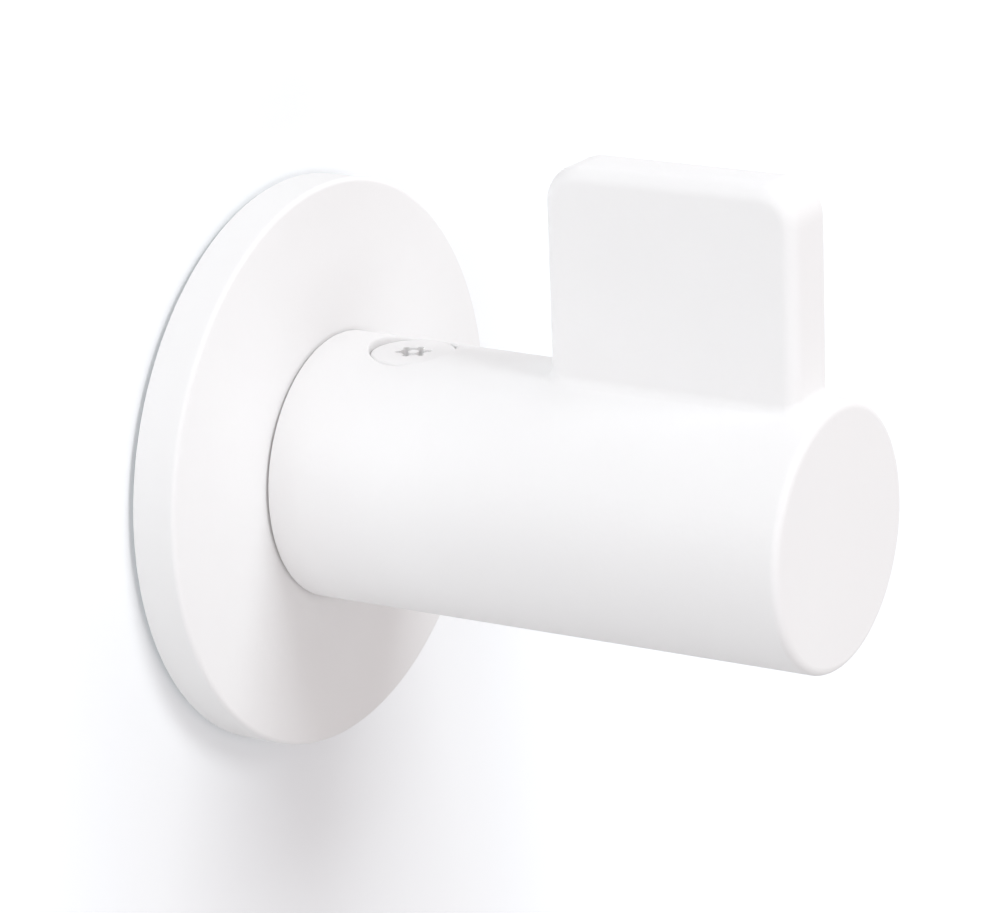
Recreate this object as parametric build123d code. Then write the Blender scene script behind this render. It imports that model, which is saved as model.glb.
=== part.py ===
from build123d import *
import os

# A wall coat hook: a round cover rose, a thick round peg with an upright blade cast on it,
# and the wall plate with its spigot that carries them.
# Millimetres. The origin is on the wall, on the peg's axis. +Y goes into the wall, +Z is up,
# so the hook stands out towards -Y. Every "reach" below is a distance from the wall.

# Cover rose
ROSE_DIAMETER = 70.0
ROSE_RIM_REACH = 6.4
ROSE_CROWN = 0.35
ROSE_WALL = 1.6
ROSE_EDGE_RADIUS = 0.6
ROSE_WALL_GAP = 0.65

# Peg
PEG_DIAMETER = 32.8
PEG_TAPER = 0.7
PEG_REACH = 75.0
PEG_END_RADIUS = 1.0
PEG_JOINT_RADIUS = 0.1
COUNTERBORE_RADIUS = 0.25
PEG_BORE_DIAMETER = 22.0
PEG_CORE_DIAMETER = 18.0
PEG_END_WALL = 7.0
SHADOW_GROOVE_WIDTH = 0.3
SHADOW_GROOVE_DEPTH = 1.5

# Blade
BLADE_THICKNESS = 8.5
BLADE_LENGTH = 32.7
BLADE_SETBACK = 3.2
BLADE_HEIGHT = 41.6
BLADE_CORNER_RADIUS = 4.5
BLADE_EDGE_RADIUS = 1.8
BLADE_ROOT_RADIUS = 1.3

# Wall plate and spigot
PLATE_THICKNESS = 3.0
PLATE_EDGE_CHAMFER = 0.5
PLATE_LIP_DEPTH = 0.6
PLATE_LIP_WIDTH = 4.0
SEAT_DIAMETER = 29.0
SPIGOT_LENGTH = 27.0
SPIGOT_TIP_CHAMFER = 1.0
TAPPED_HOLE_DEPTH = 10.0
WALL_SCREW_SPACING = 46.0
WALL_SCREW_HOLE = 5.0
WALL_SCREW_SINK = 9.6

# Security screw
SCREW_REACH = 18.0
SCREW_THREAD = 5.0
SCREW_LENGTH = 8.0
SCREW_HEAD_DIAMETER = 10.4
SCREW_HEAD_HEIGHT = 2.4
SCREW_HEAD_EDGE = 0.35
SCREW_SUNK = 0.8
SOCKET_SIZE = 4.43
SOCKET_DEPTH = 1.5
SCREW_TIP_CHAMFER = 0.6
SOCKET_PIN_DIAMETER = 1.3
SOCKET_LOBES = 6
SOCKET_LOBE_RADIUS = 0.42
SOCKET_WAIST_DIAMETER = 3.15

# Clearances
PLATE_SIDE_GAP = 1.4
SPIGOT_FIT = 0.1
SPIGOT_END_CLEARANCE = 4.0
ROSE_HOLE_FIT = 0.15
HEAD_FIT = 0.15
THREAD_FIT = 0.05
SHANK_FIT = 0.25

# How near a point on an edge must be to a surface to count as lying on it
ON_SURFACE = 0.01

# Places that follow from the sizes above
rose_joint_reach = ROSE_RIM_REACH + ROSE_CROWN
plate_diameter = ROSE_DIAMETER - 2 * ROSE_WALL - 2 * PLATE_SIDE_GAP
spigot_diameter = PEG_BORE_DIAMETER - 2 * SPIGOT_FIT
seat_reach = rose_joint_reach - ROSE_WALL
spigot_tip_reach = seat_reach + SPIGOT_LENGTH
bore_end_reach = spigot_tip_reach + SPIGOT_END_CLEARANCE
counterbore_diameter = SCREW_HEAD_DIAMETER + 2 * HEAD_FIT
blade_front_reach = PEG_REACH - BLADE_SETBACK
blade_rear_reach = blade_front_reach - BLADE_LENGTH


def peg_radius(reach):
    """The peg's radius at a reach. It narrows a little to its end, so that the casting can be drawn."""
    along = (reach - rose_joint_reach) / (PEG_REACH - rose_joint_reach)
    return (PEG_DIAMETER - PEG_TAPER * along) / 2


head_top_height = peg_radius(SCREW_REACH) - SCREW_SUNK
head_seat_height = head_top_height - SCREW_HEAD_HEIGHT


def revolved(outline):
    """A solid turned about the peg's axis from an outline of (radius, reach) points."""
    points = [(radius, -reach, 0) for radius, reach in outline]
    face = make_face(Polyline(*points, close=True))
    return revolve(face, Axis.Y)


def rod(diameter, start_reach, end_reach):
    """A round bar along the peg's axis between two reaches from the wall."""
    length = end_reach - start_reach
    base = Plane(origin=(0, -start_reach, 0), z_dir=(0, -1, 0))
    return extrude(base * Circle(diameter / 2), length)


def upright(diameter, low, high):
    """A round bar standing along Z over the security screw's place."""
    base = Plane(origin=(0, -SCREW_REACH, low), z_dir=(0, 0, 1))
    return extrude(base * Circle(diameter / 2), high - low)


def crown_arc(radius_in, radius_out, rise, reach_out):
    """The slightly domed line of the rose's face, highest at the peg."""
    flat = Vector(radius_in, -(reach_out + rise))
    edge = Vector(radius_out, -reach_out)
    return TangentArc(flat, edge, tangent=(1, 0))


def make_cover_rose():
    """A thin domed dish with a rolled front edge, open at the back, with a hole for the spigot."""
    rose_radius = ROSE_DIAMETER / 2
    hole_radius = spigot_diameter / 2 + ROSE_HOLE_FIT
    inner_radius = rose_radius - ROSE_WALL
    outside = crown_arc(PEG_DIAMETER / 2, rose_radius, ROSE_CROWN, ROSE_RIM_REACH)
    inside = crown_arc(PEG_DIAMETER / 2, inner_radius, ROSE_CROWN, ROSE_RIM_REACH - ROSE_WALL)
    outline = [
        outside,
        Line(outside @ 1, (rose_radius, -ROSE_WALL_GAP)),
        Line((rose_radius, -ROSE_WALL_GAP), (inner_radius, -ROSE_WALL_GAP)),
        Line((inner_radius, -ROSE_WALL_GAP), inside @ 1),
        inside,
        Line(inside @ 0, (hole_radius, -seat_reach)),
        Line((hole_radius, -seat_reach), (hole_radius, -rose_joint_reach)),
        Line((hole_radius, -rose_joint_reach), outside @ 0),
    ]
    dish = revolve(make_face(outline), Axis.Y)
    front_rim = [edge for edge in dish.edges().filter_by(GeomType.CIRCLE)
                 if abs(edge.radius - rose_radius) < ON_SURFACE
                 and abs((edge @ 0).Y + ROSE_RIM_REACH) < ON_SURFACE]
    return fillet(front_rim, ROSE_EDGE_RADIUS)


def back_recess():
    """The shallow hollow in the plate's back, which leaves a rim, a middle and two screw pads."""
    recess = rod(plate_diameter - 2 * PLATE_LIP_WIDTH, 0, PLATE_LIP_DEPTH)
    recess -= rod(SEAT_DIAMETER, 0, PLATE_LIP_DEPTH)
    for side in (-1, 1):
        pad = rod(2 * WALL_SCREW_SINK, 0, PLATE_LIP_DEPTH)
        recess -= Pos(0, 0, side * WALL_SCREW_SPACING / 2) * pad
    return recess


def wall_screw_hole(height):
    """A hole through the plate at a height from the middle, countersunk from the front."""
    front = Plane(origin=(0, -PLATE_THICKNESS, height), z_dir=(0, 1, 0))
    sink_depth = (WALL_SCREW_SINK - WALL_SCREW_HOLE) / 2
    sink = Solid.make_cone(WALL_SCREW_SINK / 2, WALL_SCREW_HOLE / 2, sink_depth, plane=front)
    return extrude(front * Circle(WALL_SCREW_HOLE / 2), PLATE_THICKNESS) + sink


def make_wall_plate():
    """A cast round plate with a seat for the rose, the spigot, and two countersunk wall holes."""
    plate_radius = plate_diameter / 2
    spigot_radius = spigot_diameter / 2
    plate = revolved([
        (0, 0),
        (plate_radius, 0),
        (plate_radius, PLATE_THICKNESS - PLATE_EDGE_CHAMFER),
        (plate_radius - PLATE_EDGE_CHAMFER, PLATE_THICKNESS),
        (SEAT_DIAMETER / 2, PLATE_THICKNESS),
        (SEAT_DIAMETER / 2, seat_reach),
        (spigot_radius, seat_reach),
        (spigot_radius, spigot_tip_reach - SPIGOT_TIP_CHAMFER),
        (spigot_radius - SPIGOT_TIP_CHAMFER, spigot_tip_reach),
        (0, spigot_tip_reach),
    ])
    plate -= back_recess()
    for side in (-1, 1):
        plate -= wall_screw_hole(side * WALL_SCREW_SPACING / 2)
    tapped_low = spigot_radius - TAPPED_HOLE_DEPTH
    plate -= upright(SCREW_THREAD + 2 * THREAD_FIT, tapped_low, spigot_radius)
    return plate


def make_blade():
    """The upright blade: a plate with rounded corners and soft edges, standing on the peg's axis."""
    centre_reach = (blade_front_reach + blade_rear_reach) / 2
    side_face = Plane(origin=(0, -centre_reach, BLADE_HEIGHT / 2), x_dir=(0, 1, 0), z_dir=(1, 0, 0))
    outline = side_face * Rectangle(BLADE_LENGTH, BLADE_HEIGHT)
    top_corners = outline.vertices().group_by(Axis.Z)[-1]
    outline = fillet(top_corners, BLADE_CORNER_RADIUS)
    blade = extrude(outline, BLADE_THICKNESS / 2, both=True)
    soft = [edge for edge in blade.edges()
            if abs(abs((edge @ 0.5).X) - BLADE_THICKNESS / 2) < ON_SURFACE
            and (edge @ 0.5).Z > ON_SURFACE]
    return fillet(soft, BLADE_EDGE_RADIUS)


def round_rim(barrel, reach):
    """The circle where the peg's round surface ends at a reach."""
    def lies_there(edge):
        off_rim = abs(edge.radius - peg_radius(reach)) + abs((edge @ 0).Y + reach)
        return off_rim < ON_SURFACE
    return barrel.edges().filter_by(GeomType.CIRCLE).filter_by(lies_there)


def on_peg_surface(casting, rear_reach, front_reach):
    """The edges on the upper half of the peg's round surface between two reaches."""
    def lies_there(edge):
        point = edge @ 0.5
        off_surface = abs(Vector(point.X, point.Z).length - peg_radius(-point.Y))
        between = rear_reach - ON_SURFACE < -point.Y < front_reach + ON_SURFACE
        return off_surface < ON_SURFACE and point.Z > ON_SURFACE and between
    return casting.edges().filter_by(lies_there)


def make_hook_peg():
    """The peg and its blade as one casting, bored for the spigot and for the security screw."""
    groove_reach = rose_joint_reach + SHADOW_GROOVE_WIDTH
    groove_radius = peg_radius(groove_reach) - SHADOW_GROOVE_DEPTH
    barrel = revolved([
        (0, rose_joint_reach),
        (groove_radius, rose_joint_reach),
        (groove_radius, groove_reach),
        (peg_radius(groove_reach), groove_reach),
        (peg_radius(PEG_REACH), PEG_REACH),
        (0, PEG_REACH),
    ])
    barrel = fillet(round_rim(barrel, PEG_REACH), PEG_END_RADIUS)
    barrel = fillet(round_rim(barrel, groove_reach), PEG_JOINT_RADIUS)
    casting = barrel + make_blade()
    casting = fillet(on_peg_surface(casting, blade_rear_reach, blade_front_reach), BLADE_ROOT_RADIUS)
    casting -= rod(PEG_BORE_DIAMETER, rose_joint_reach, bore_end_reach)
    casting -= rod(PEG_CORE_DIAMETER, bore_end_reach, PEG_REACH - PEG_END_WALL)
    casting -= upright(counterbore_diameter, head_seat_height, PEG_DIAMETER)
    casting -= upright(SCREW_THREAD + 2 * SHANK_FIT, 0, PEG_DIAMETER)
    mouth_rear = SCREW_REACH - counterbore_diameter / 2
    mouth_front = SCREW_REACH + counterbore_diameter / 2
    return fillet(on_peg_surface(casting, mouth_rear, mouth_front), COUNTERBORE_RADIUS)


def make_security_screw():
    """A flat-headed screw with a six-lobe socket that has a pin at its centre."""
    head = upright(SCREW_HEAD_DIAMETER, head_seat_height, head_top_height)
    head = fillet(head.edges().group_by(Axis.Z)[-1], SCREW_HEAD_EDGE)
    shank = upright(SCREW_THREAD, head_seat_height - SCREW_LENGTH, head_seat_height)
    shank = chamfer(shank.edges().group_by(Axis.Z)[0], SCREW_TIP_CHAMFER)
    socket_floor = Plane(origin=(0, -SCREW_REACH, head_top_height - SOCKET_DEPTH), z_dir=(0, 0, 1))
    lobe_places = PolarLocations(SOCKET_SIZE / 2 - SOCKET_LOBE_RADIUS, SOCKET_LOBES)
    star = Circle(SOCKET_WAIST_DIAMETER / 2) + lobe_places * Circle(SOCKET_LOBE_RADIUS)
    star -= Circle(SOCKET_PIN_DIAMETER / 2)
    return head + shank - extrude(socket_floor * star, SOCKET_DEPTH)


parts = {
    "wall_plate": make_wall_plate(),
    "cover_rose": make_cover_rose(),
    "hook_peg": make_hook_peg(),
    "security_screw": make_security_screw(),
}

os.makedirs("parts", exist_ok=True)
for name, part in parts.items():
    solid = part.solid()
    solid.label = name
    export_step(solid, f"parts/{name}.step")
    print(name, round(solid.volume, 1), solid.is_valid)
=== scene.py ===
import math
import bpy
from mathutils import Euler, Matrix, Vector


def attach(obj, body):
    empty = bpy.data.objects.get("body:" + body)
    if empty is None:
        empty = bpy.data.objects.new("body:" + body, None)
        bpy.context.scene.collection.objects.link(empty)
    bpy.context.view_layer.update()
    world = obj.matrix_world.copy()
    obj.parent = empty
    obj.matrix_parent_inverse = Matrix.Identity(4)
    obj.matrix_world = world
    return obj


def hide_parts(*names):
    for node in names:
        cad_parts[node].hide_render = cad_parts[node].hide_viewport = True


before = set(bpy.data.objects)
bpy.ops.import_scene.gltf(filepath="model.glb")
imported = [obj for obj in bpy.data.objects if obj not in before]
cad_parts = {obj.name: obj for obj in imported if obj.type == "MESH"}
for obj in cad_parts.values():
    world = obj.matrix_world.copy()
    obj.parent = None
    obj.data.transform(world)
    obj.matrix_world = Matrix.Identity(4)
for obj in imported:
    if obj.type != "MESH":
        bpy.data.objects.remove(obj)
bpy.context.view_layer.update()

# The camera: where it stands, where it looks and how long its lens is
CAMERA_PLACE = (-0.4259, -0.2903, 0.1632)
CAMERA_HEADING = math.radians(58.529)
CAMERA_TILT = math.radians(-17.699)
CAMERA_ROLL = math.radians(-2.158)
CAMERA_LENS = 157.98
CAMERA_NEAR = 0.01
SENSOR_WIDTH = 36.0

# The lamps stand on a dome round the hook. Azimuth 0 is straight out from the wall and 90 is
# towards +X; each row is azimuth, elevation, size in metres and watts.
LAMP_DISTANCE = 1.3
LAMP_TARGET = (0.0, -0.03, 0.0)
LAMPS = {
    "lamp_key": (0, 35, 0.5, 6.89),
    "lamp_right": (90, 35, 0.7, 3.96),
    "lamp_left": (-90, 15, 0.7, 2.03),
    "lamp_left_high": (-90, 60, 0.7, 2.38),
    "lamp_left_low": (-90, -45, 0.7, 2.32),
    "lamp_left_rear": (-120, 15, 0.7, 2.93),
    "lamp_front_low": (0, -45, 0.7, 1.81),
    "lamp_rear": (180, 0, 0.5, 2.0),
}
LAMP_TINT = (0.923, 0.976, 1.0)

# The surround: what the eye and reflections see, and the fill that lights the object
SURROUND_WHITE = (1.0, 1.0, 1.0, 1.0)
SURROUND_STRENGTH = 1.0
FILL_TINT = (1.0, 0.91, 0.907, 1.0)
FILL_STRENGTH = 0.588

# The stage: a white wall behind the hook and a pale floor at a coat hook's usual height below
# it. The wall is open behind the wall plate, which covers the opening, so that light reaches
# the plate's back.
STAGE_SIZE = 3.4
STAGE_WHITE = (0.90, 0.90, 0.90, 1.0)
STAGE_BOUNCE = (0.50, 0.50, 0.50, 1.0)
WALL_GAP = 0.00005
WALL_OPENING_RADIUS = 0.0315
WALL_TURNS = 128
FLOOR_DEPTH = 1.5

# Painted glow on the wall, seen by the eye alone: painted light that brings the backdrop up to
# white, kept low round and beneath the hook so that its cast shadow shows. Its strengths, and the
# distances from the hook's upright line over which it goes from the first to the second
PAINTED_GLOW_TINT = (0.85, 1.01, 1.14, 1.0)
NEAR_PAINTED_GLOW = (0.103, 0.30)
NEAR_PAINTED_GLOW_SPAN = (0.0245, 0.087)
EDGE_PAINTED_GLOW = (0.0, 0.5)
EDGE_PAINTED_GLOW_SPAN = (0.3, 1.3)

# Satin white powder coat, on the peg and the rose, and a little smoother on the screw
COAT_WHITE = (0.92, 0.92, 0.92)
COAT_ROUGHNESS = 0.5
SCREW_WHITE = (0.91, 0.91, 0.91)
SCREW_ROUGHNESS = 0.42
COAT_IOR = 1.5
COAT_SPECULAR = 0.3
COAT_CLOUDS = {"scale": 90.0, "detail": 2.0}
COAT_CLOUD_SWING = 0.008
COAT_PEEL = {"scale": 900.0, "detail": 3.0}
COAT_PEEL_SWING = 0.04
COAT_PEEL_STRENGTH = 0.15
COAT_PEEL_HEIGHT = 0.0002

# Bare cast aluminium, on the wall plate and its spigot
CASTING_GREY = (0.62, 0.63, 0.64)
CASTING_CLOUDS = {"scale": 160.0, "detail": 4.0}
CASTING_CLOUD_SWING = 0.05
CASTING_ROUGHNESS = (0.42, 0.62)
CASTING_GRAIN = {"scale": 2600.0, "detail": 3.0}
CASTING_GRAIN_STRENGTH = 0.35
CASTING_GRAIN_HEIGHT = 0.0001

# The cover rose in metres, of the same shape as its CAD node. Radii are from the peg's axis and
# reaches are from the wall.
ROSE_RADIUS = 0.035
ROSE_HOLE_RADIUS = 0.01105
ROSE_CROWN_START = 0.0164
ROSE_CROWN = 0.00035
ROSE_JOINT_REACH = 0.00675
ROSE_BACK_REACH = 0.00065
ROSE_WALL = 0.0016
ROSE_EDGE_RADIUS = 0.0006
ROSE_TURNS = 256
CROWN_STEPS = 24
EDGE_STEPS = 12
SHADING_LOOP = 0.00015
SHARP_ANGLE = math.radians(30)


def new_shading(name):
    """An empty node material with its output, as (material, nodes, links, output)."""
    material = bpy.data.materials.new(name)
    material.use_nodes = True
    nodes = material.node_tree.nodes
    nodes.clear()
    return material, nodes, material.node_tree.links, nodes.new("ShaderNodeOutputMaterial")


def worked_out(nodes, links, operation, first, second):
    """The result of a Math node on two sources."""
    node = nodes.new("ShaderNodeMath")
    node.operation = operation
    links.new(first, node.inputs[0])
    links.new(second, node.inputs[1])
    return node.outputs[0]


def ramp(nodes, links, source, source_span, value_span, interpolation="LINEAR"):
    """A value that crosses its span as the source crosses its own, and stays level outside it."""
    node = nodes.new("ShaderNodeMapRange")
    node.interpolation_type = interpolation
    node.inputs["From Min"].default_value = source_span[0]
    node.inputs["From Max"].default_value = source_span[1]
    node.inputs["To Min"].default_value = value_span[0]
    node.inputs["To Max"].default_value = value_span[1]
    links.new(source, node.inputs["Value"])
    return node.outputs[0]


def mixed(nodes, links, amount, first, second):
    """The first shader where the amount is 0, and the second where it is 1."""
    node = nodes.new("ShaderNodeMixShader")
    links.new(amount, node.inputs[0])
    links.new(first, node.inputs[1])
    links.new(second, node.inputs[2])
    return node.outputs[0]


def shown_to_eye(nodes, links, path, seen, others):
    """One shader for the eye and for reflections, and the other for all other rays."""
    camera_ray = path.outputs["Is Camera Ray"]
    either = worked_out(nodes, links, "MAXIMUM", camera_ray, path.outputs["Is Glossy Ray"])
    return mixed(nodes, links, either, others, seen)


def add_camera():
    """The photograph's viewing angle, as a long lens standing to the left and a little above."""
    data = bpy.data.cameras.new("camera")
    data.sensor_fit = "HORIZONTAL"
    data.sensor_width = SENSOR_WIDTH
    data.lens = CAMERA_LENS
    data.clip_start = CAMERA_NEAR
    camera = bpy.data.objects.new("camera", data)
    bpy.context.scene.collection.objects.link(camera)
    aim = Euler((math.pi / 2 + CAMERA_TILT, 0.0, -CAMERA_HEADING)).to_matrix().to_4x4()
    turn = Matrix.Rotation(CAMERA_ROLL, 4, "Z")
    camera.matrix_world = Matrix.Translation(CAMERA_PLACE) @ aim @ turn
    bpy.context.scene.camera = camera


def add_lamp(name, azimuth, elevation, size, power):
    """A soft square lamp on the dome, facing the hook.

    Only shadow rays pass the wall, so a lamp partly behind it is reached by those rays alone.
    """
    turn = math.radians(azimuth)
    rise = math.radians(elevation)
    ahead = -math.cos(turn) * math.cos(rise)
    out = Vector((math.sin(turn) * math.cos(rise), ahead, math.sin(rise)))
    data = bpy.data.lights.new(name, "AREA")
    data.shape = "SQUARE"
    data.size = size
    data.energy = power
    data.color = LAMP_TINT
    data.cycles.use_multiple_importance_sampling = False
    lamp = bpy.data.objects.new(name, data)
    bpy.context.scene.collection.objects.link(lamp)
    place = Matrix.Translation(Vector(LAMP_TARGET) + LAMP_DISTANCE * out)
    lamp.matrix_world = place @ out.to_track_quat("Z", "Y").to_matrix().to_4x4()


def background(nodes, colour, strength):
    """An even light from all round."""
    node = nodes.new("ShaderNodeBackground")
    node.inputs["Color"].default_value = colour
    node.inputs["Strength"].default_value = strength
    return node.outputs[0]


def add_surround():
    """A white surround: plain white to the eye and in reflections, and a soft fill on the object."""
    world = bpy.data.worlds.new("surround")
    world.use_nodes = True
    nodes = world.node_tree.nodes
    links = world.node_tree.links
    nodes.clear()
    seen = background(nodes, SURROUND_WHITE, SURROUND_STRENGTH)
    fill = background(nodes, FILL_TINT, FILL_STRENGTH)
    path = nodes.new("ShaderNodeLightPath")
    output = nodes.new("ShaderNodeOutputWorld")
    links.new(shown_to_eye(nodes, links, path, seen, fill), output.inputs["Surface"])
    bpy.context.scene.world = world


def stage_paint(nodes, links, path):
    """White paint to the eye, and a darker grey to other rays, so that it throws back less light."""
    seen = nodes.new("ShaderNodeBsdfDiffuse")
    seen.inputs["Color"].default_value = STAGE_WHITE
    thrown = nodes.new("ShaderNodeBsdfDiffuse")
    thrown.inputs["Color"].default_value = STAGE_BOUNCE
    return shown_to_eye(nodes, links, path, seen.outputs[0], thrown.outputs[0])


def painted_glow_strength(nodes, links):
    """How strong the wall's painted glow is: weak round and beneath the hook, where its cast shadow
    falls, and stronger away from it and above, where it paints the wall up to white.

    Its far edges, which the side views meet, get more painted glow still, as the lamps light them less.
    """
    place = nodes.new("ShaderNodeTexCoord")
    split = nodes.new("ShaderNodeSeparateXYZ")
    above = nodes.new("ShaderNodeMath")
    above.operation = "MAXIMUM"
    above.inputs[1].default_value = 0.0
    flat = nodes.new("ShaderNodeCombineXYZ")
    distance = nodes.new("ShaderNodeVectorMath")
    distance.operation = "LENGTH"
    links.new(place.outputs["Object"], split.inputs[0])
    links.new(split.outputs["Y"], above.inputs[0])
    links.new(split.outputs["X"], flat.inputs["X"])
    links.new(above.outputs[0], flat.inputs["Y"])
    links.new(flat.outputs[0], distance.inputs[0])
    away = distance.outputs["Value"]
    near = ramp(nodes, links, away, NEAR_PAINTED_GLOW_SPAN, NEAR_PAINTED_GLOW, "SMOOTHSTEP")
    edge = ramp(nodes, links, away, EDGE_PAINTED_GLOW_SPAN, EDGE_PAINTED_GLOW)
    return worked_out(nodes, links, "ADD", near, edge)


def wall_material():
    """White paint that shows only from the front, so that the hook can be seen from behind too."""
    material, nodes, links, output = new_shading("wall_white")
    path = nodes.new("ShaderNodeLightPath")
    paint = stage_paint(nodes, links, path)
    # Painted glow, for the eye alone, that brings the wall up to white away from the hook's cast shadow
    glow = nodes.new("ShaderNodeEmission")
    glow.inputs["Color"].default_value = PAINTED_GLOW_TINT
    links.new(painted_glow_strength(nodes, links), glow.inputs["Strength"])
    glowing = nodes.new("ShaderNodeAddShader")
    links.new(paint, glowing.inputs[0])
    links.new(glow.outputs[0], glowing.inputs[1])
    front = mixed(nodes, links, path.outputs["Is Camera Ray"], paint, glowing.outputs[0])
    behind = nodes.new("ShaderNodeNewGeometry").outputs["Backfacing"]
    hidden = worked_out(nodes, links, "MAXIMUM", behind, path.outputs["Is Shadow Ray"])
    clear = nodes.new("ShaderNodeBsdfTransparent").outputs[0]
    links.new(mixed(nodes, links, hidden, front, clear), output.inputs["Surface"])
    return material


def floor_material():
    """Plain pale floor paint."""
    material, nodes, links, output = new_shading("floor_white")
    paint = stage_paint(nodes, links, nodes.new("ShaderNodeLightPath"))
    links.new(paint, output.inputs["Surface"])
    return material


def round_the_circle(count):
    """Even directions round the peg's axis, as (across, up) pairs."""
    angles = [2 * math.pi * turn / count for turn in range(count)]
    return [(math.cos(angle), math.sin(angle)) for angle in angles]


def add_mesh(name, corners, faces, material):
    """A mesh object in one material."""
    mesh = bpy.data.meshes.new(name)
    mesh.from_pydata(corners, [], faces)
    mesh.materials.append(material)
    piece = bpy.data.objects.new(name, mesh)
    bpy.context.scene.collection.objects.link(piece)
    return piece


def add_wall():
    """The wall that the hook is fixed to: a square with a round opening behind the wall plate."""
    corners = []
    for across, up in round_the_circle(WALL_TURNS):
        edge = STAGE_SIZE / 2 / max(abs(across), abs(up))
        corners += [(radius * across, radius * up, 0) for radius in (WALL_OPENING_RADIUS, edge)]
    faces = []
    for turn in range(WALL_TURNS):
        here = 2 * turn
        there = 2 * ((turn + 1) % WALL_TURNS)
        faces.append((here, here + 1, there + 1, there))
    wall = add_mesh("wall", corners, faces, wall_material())
    upright = Matrix.Rotation(math.pi / 2, 4, "X")
    wall.matrix_world = Matrix.Translation((0, WALL_GAP, 0)) @ upright


def add_floor():
    """A plain pale floor, well below the hook."""
    half = STAGE_SIZE / 2
    corners = [(-half, -half, 0), (half, -half, 0), (half, half, 0), (-half, half, 0)]
    floor = add_mesh("floor", corners, [(0, 1, 2, 3)], floor_material())
    floor.matrix_world = Matrix.Translation((0, 0, -FLOOR_DEPTH))


def noise(nodes, links, scale, detail):
    """A noise texture laid over the object in its own coordinates."""
    place = nodes.new("ShaderNodeTexCoord")
    texture = nodes.new("ShaderNodeTexNoise")
    texture.inputs["Scale"].default_value = scale
    texture.inputs["Detail"].default_value = detail
    links.new(place.outputs["Object"], texture.inputs["Vector"])
    return texture.outputs[0]


def spread(nodes, links, source, low, high):
    """A value between low and high, following a 0 to 1 source."""
    return ramp(nodes, links, source, (0.0, 1.0), (low, high))


def clouded_colour(nodes, links, clouds, levels, swing):
    """A colour that drifts a little about its levels, following the clouds."""
    colour = nodes.new("ShaderNodeCombineColor")
    for channel, level in zip(("Red", "Green", "Blue"), levels):
        tone = spread(nodes, links, clouds, level - swing, level + swing)
        links.new(tone, colour.inputs[channel])
    return colour.outputs[0]


def fine_bump(nodes, links, height, strength, distance):
    """A very shallow relief from a height pattern."""
    bump = nodes.new("ShaderNodeBump")
    bump.inputs["Strength"].default_value = strength
    bump.inputs["Distance"].default_value = distance
    links.new(height, bump.inputs["Height"])
    return bump.outputs[0]


def powder_coat(name, white, roughness):
    """Satin white powder coat: even colour with faint clouds, and a very fine orange peel."""
    material, nodes, links, output = new_shading(name)
    shader = nodes.new("ShaderNodeBsdfPrincipled")
    shader.inputs["IOR"].default_value = COAT_IOR
    shader.inputs["Specular IOR Level"].default_value = COAT_SPECULAR
    clouds = noise(nodes, links, **COAT_CLOUDS)
    peel = noise(nodes, links, **COAT_PEEL)
    colour = clouded_colour(nodes, links, clouds, white, COAT_CLOUD_SWING)
    rough = spread(nodes, links, peel, roughness - COAT_PEEL_SWING, roughness + COAT_PEEL_SWING)
    relief = fine_bump(nodes, links, peel, COAT_PEEL_STRENGTH, COAT_PEEL_HEIGHT)
    links.new(colour, shader.inputs["Base Color"])
    links.new(rough, shader.inputs["Roughness"])
    links.new(relief, shader.inputs["Normal"])
    links.new(shader.outputs[0], output.inputs["Surface"])
    return material


def bare_casting(name):
    """Bare cast aluminium: dull grey metal with soft cloudy patches and a fine sandy skin."""
    material, nodes, links, output = new_shading(name)
    shader = nodes.new("ShaderNodeBsdfPrincipled")
    shader.inputs["Metallic"].default_value = 1.0
    clouds = noise(nodes, links, **CASTING_CLOUDS)
    grain = noise(nodes, links, **CASTING_GRAIN)
    colour = clouded_colour(nodes, links, clouds, CASTING_GREY, CASTING_CLOUD_SWING)
    relief = fine_bump(nodes, links, grain, CASTING_GRAIN_STRENGTH, CASTING_GRAIN_HEIGHT)
    links.new(colour, shader.inputs["Base Color"])
    links.new(spread(nodes, links, clouds, *CASTING_ROUGHNESS), shader.inputs["Roughness"])
    links.new(relief, shader.inputs["Normal"])
    links.new(shader.outputs[0], output.inputs["Surface"])
    return material


def crown_bend(radius_out):
    """The radius of the arc that drops by the crown between its start and an outer radius."""
    run = radius_out - ROSE_CROWN_START
    return (run * run + ROSE_CROWN * ROSE_CROWN) / (2 * ROSE_CROWN)


def crown_points(reach, bend, radius_end):
    """Points along the domed face, level at the peg, with a last close pair for even shading."""
    run = radius_end - ROSE_CROWN_START
    steps = [run * step / CROWN_STEPS for step in range(CROWN_STEPS)] + [run - SHADING_LOOP, run]
    return [(ROSE_CROWN_START + across, reach - bend + math.sqrt(bend * bend - across * across))
            for across in steps]


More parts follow.
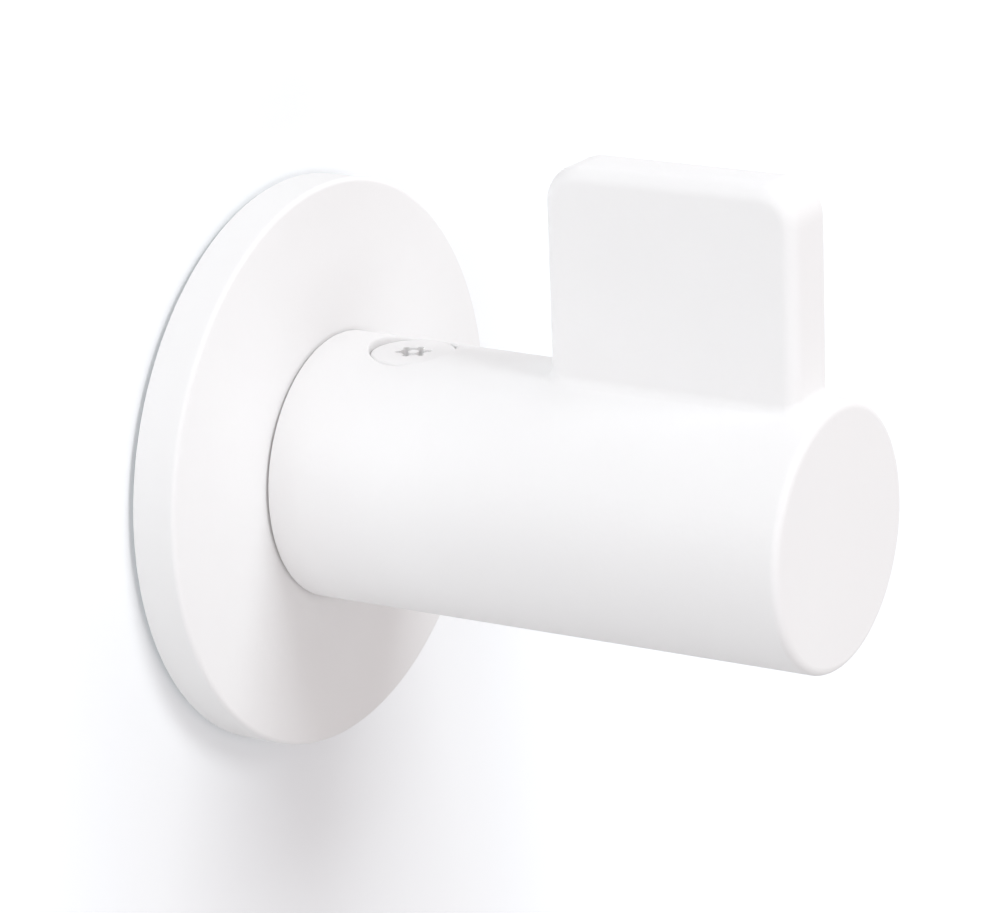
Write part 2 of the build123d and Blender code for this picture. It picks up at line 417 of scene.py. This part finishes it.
def rose_outline():
    """The rose's section as (radius, reach) points, round from the front of its hole."""
    bend = crown_bend(ROSE_RADIUS)
    edge_centre = ROSE_RADIUS - ROSE_EDGE_RADIUS
    edge_across = edge_centre - ROSE_CROWN_START
    edge_rise = math.sqrt((bend - ROSE_EDGE_RADIUS) ** 2 - edge_across ** 2)
    edge_reach = ROSE_JOINT_REACH - bend + edge_rise
    edge_start = math.atan2(edge_rise, edge_across)
    crown_end = ROSE_CROWN_START + bend * math.cos(edge_start)
    inner_radius = ROSE_RADIUS - ROSE_WALL
    inner_reach = ROSE_JOINT_REACH - ROSE_WALL
    outline = [(ROSE_HOLE_RADIUS, ROSE_JOINT_REACH)]
    outline += crown_points(ROSE_JOINT_REACH, bend, crown_end)
    for step in range(1, EDGE_STEPS + 1):
        turn = edge_start * (1 - step / EDGE_STEPS)
        outline.append((edge_centre + ROSE_EDGE_RADIUS * math.cos(turn),
                        edge_reach + ROSE_EDGE_RADIUS * math.sin(turn)))
    outline += [
        (ROSE_RADIUS, edge_reach - SHADING_LOOP),
        (ROSE_RADIUS, ROSE_BACK_REACH),
        (inner_radius, ROSE_BACK_REACH),
    ]
    outline += reversed(crown_points(inner_reach, crown_bend(inner_radius), inner_radius))
    outline.append((ROSE_HOLE_RADIUS, inner_reach))
    return outline


def turned_rose(material):
    """The rose turned from its section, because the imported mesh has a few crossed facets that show."""
    outline = rose_outline()
    corners = []
    for across, up in round_the_circle(ROSE_TURNS):
        corners += [(radius * across, -reach, radius * up) for radius, reach in outline]
    faces = []
    count = len(outline)
    for turn in range(ROSE_TURNS):
        here = turn * count
        there = (turn + 1) % ROSE_TURNS * count
        for point in range(count):
            after = (point + 1) % count
            faces.append((here + point, there + point, there + after, here + after))
    rose = add_mesh("turned_rose", corners, faces, material)
    rose.data.shade_smooth()
    rose.data.set_sharp_from_angle(angle=SHARP_ANGLE)
    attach(rose, "root")
    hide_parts("cover_rose")


def dress(node, material):
    """Gives a CAD node a material on all its slots."""
    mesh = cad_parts[node].data
    if not mesh.materials:
        mesh.materials.append(material)
    for index in range(len(mesh.materials)):
        mesh.materials[index] = material


add_camera()
add_surround()
add_wall()
add_floor()
for name, (azimuth, elevation, size, power) in LAMPS.items():
    add_lamp(name, azimuth, elevation, size, power)
dress("hook_peg", powder_coat("peg_powder_coat", COAT_WHITE, COAT_ROUGHNESS))
turned_rose(powder_coat("rose_powder_coat", COAT_WHITE, COAT_ROUGHNESS))
dress("security_screw", powder_coat("screw_coat", SCREW_WHITE, SCREW_ROUGHNESS))
dress("wall_plate", bare_casting("bare_casting"))

bpy.context.scene.view_settings.view_transform = "Standard"
